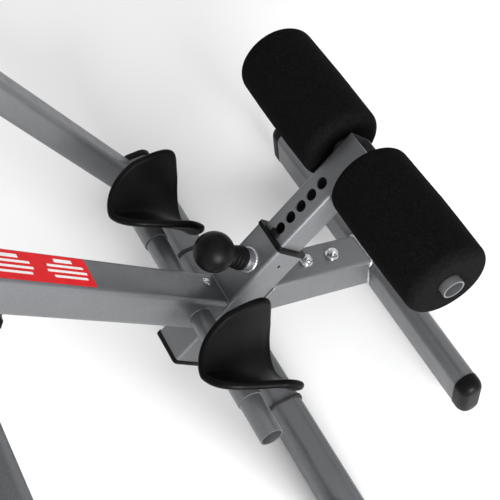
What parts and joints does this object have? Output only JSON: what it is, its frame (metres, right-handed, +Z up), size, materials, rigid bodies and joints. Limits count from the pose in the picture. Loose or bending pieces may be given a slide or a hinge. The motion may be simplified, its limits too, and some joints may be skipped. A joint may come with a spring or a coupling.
{
  "type": "roman chair",
  "caption": "Roman chair with an inclined sliding boom, foam ankle rollers, moulded heel cups, a foot bar, height-adjustable hip pads and a wide tubular frame.",
  "frame": {"origin": "on the floor, under the middle of the machine's box", "axes": "+X to the side, +Y towards the foot end, +Z up"},
  "size_m": [0.844, 1.1214, 0.9691],
  "materials": {
    "silver_paint": "satin metallic silver powder coat",
    "black_plastic": "satin black moulded plastic",
    "roller_foam": "matt closed-cell black foam",
    "moulded_rubber": "satin black moulded rubber",
    "grip_rubber": "matt black rubber",
    "vinyl_pad": "black grained vinyl over foam",
    "zinc_steel": "bright zinc plate",
    "label_red": "plain red film"
  },
  "bodies": {
    "frame": {"rear_stabilizer": "silver_paint", "rear_cap_left": "black_plastic", "rear_cap_right": "black_plastic", "floor_band_left": "grip_rubber", "floor_band_right": "grip_rubber", "side_leg_left": "silver_paint", "side_leg_right": "silver_paint", "crossbar": "silver_paint", "hub_tube": "silver_paint", "hub_cap_left": "black_plastic", "hub_cap_right": "black_plastic", "front_leg_left": "silver_paint", "front_leg_right": "silver_paint", "front_stabilizer": "silver_paint", "front_cap_left": "black_plastic", "front_cap_right": "black_plastic", "head_plate_left": "silver_paint", "head_plate_right": "silver_paint", "rail_bolt_1": "zinc_steel", "rail_bolt_2": "zinc_steel", "boom_rail": "silver_paint", "rail_plug": "black_plastic", "mast_sleeve": "silver_paint", "mast_collar": "black_plastic", "handle_left": "silver_paint", "handle_right": "silver_paint", "hand_grip_left": "grip_rubber", "hand_grip_right": "grip_rubber"},
    "boom": {"boom_tube": "silver_paint", "boom_bush": "black_plastic", "cup_cross_tube": "silver_paint", "heel_cup_left": "moulded_rubber", "heel_cup_right": "moulded_rubber", "roller_sleeve": "silver_paint", "sleeve_collar_top": "black_plastic", "sleeve_collar_bottom": "black_plastic", "post_pin_boss": "silver_paint", "stem_tube": "silver_paint", "stem_core": "silver_paint", "stem_bolt_1": "zinc_steel", "stem_bolt_2": "zinc_steel", "foot_bar": "silver_paint", "foot_bar_cap_left": "black_plastic", "foot_bar_cap_right": "black_plastic"},
    "boom_pin": {"boom_pin": "black_plastic"},
    "post_pin": {"post_pin_shank": "zinc_steel", "post_pin_ball": "black_plastic"},
    "roller_post": {"roller_post": "silver_paint", "roller_tube": "silver_paint"},
    "roller_left": {"foam_roller_left": "roller_foam"},
    "roller_right": {"foam_roller_right": "roller_foam"},
    "hip_carriage": {"hip_post": "silver_paint", "hip_bar": "silver_paint", "hip_plate_left": "silver_paint", "hip_plate_right": "silver_paint", "hip_pad_left": "vinyl_pad", "hip_pad_right": "vinyl_pad"},
    "mast_pin": {"mast_pin": "black_plastic"}
  },
  "joints": [
    {"name": "boom_slide", "type": "slide", "parent": "frame", "child": "boom", "axis": [0, -0.742, 0.6704], "range_m": [0, 0.12]},
    {"name": "boom_pin_pull", "type": "slide", "parent": "boom", "child": "boom_pin", "axis": [0, -0.6704, -0.742], "range_m": [0, 0.012], "stiffness_N_per_m": 800, "springref_m": -0.006},
    {"name": "roller_post_slide", "type": "slide", "parent": "boom", "child": "roller_post", "axis": [0, 0.7145, 0.6997], "range_m": [-0.0752, 0.0376]},
    {"name": "post_pin_pull", "type": "slide", "parent": "boom", "child": "post_pin", "axis": [0, -0.6997, 0.7145], "range_m": [0, 0.012], "stiffness_N_per_m": 800, "springref_m": -0.006},
    {"name": "roller_left_spin", "type": "hinge", "parent": "roller_post", "child": "roller_left", "pos_m": [0, 0.49616, 0.27428], "axis": [1, 0, 0], "continuous": true},
    {"name": "roller_right_spin", "type": "hinge", "parent": "roller_post", "child": "roller_right", "pos_m": [0, 0.49616, 0.27428], "axis": [1, 0, 0], "continuous": true},
    {"name": "hip_post_slide", "type": "slide", "parent": "frame", "child": "hip_carriage", "axis": [0, 0.6704, 0.742], "range_m": [-0.04, 0.04]},
    {"name": "mast_pin_pull", "type": "slide", "parent": "frame", "child": "mast_pin", "axis": [0, -0.742, 0.6704], "range_m": [0, 0.012], "stiffness_N_per_m": 800, "springref_m": -0.006}
  ]
}
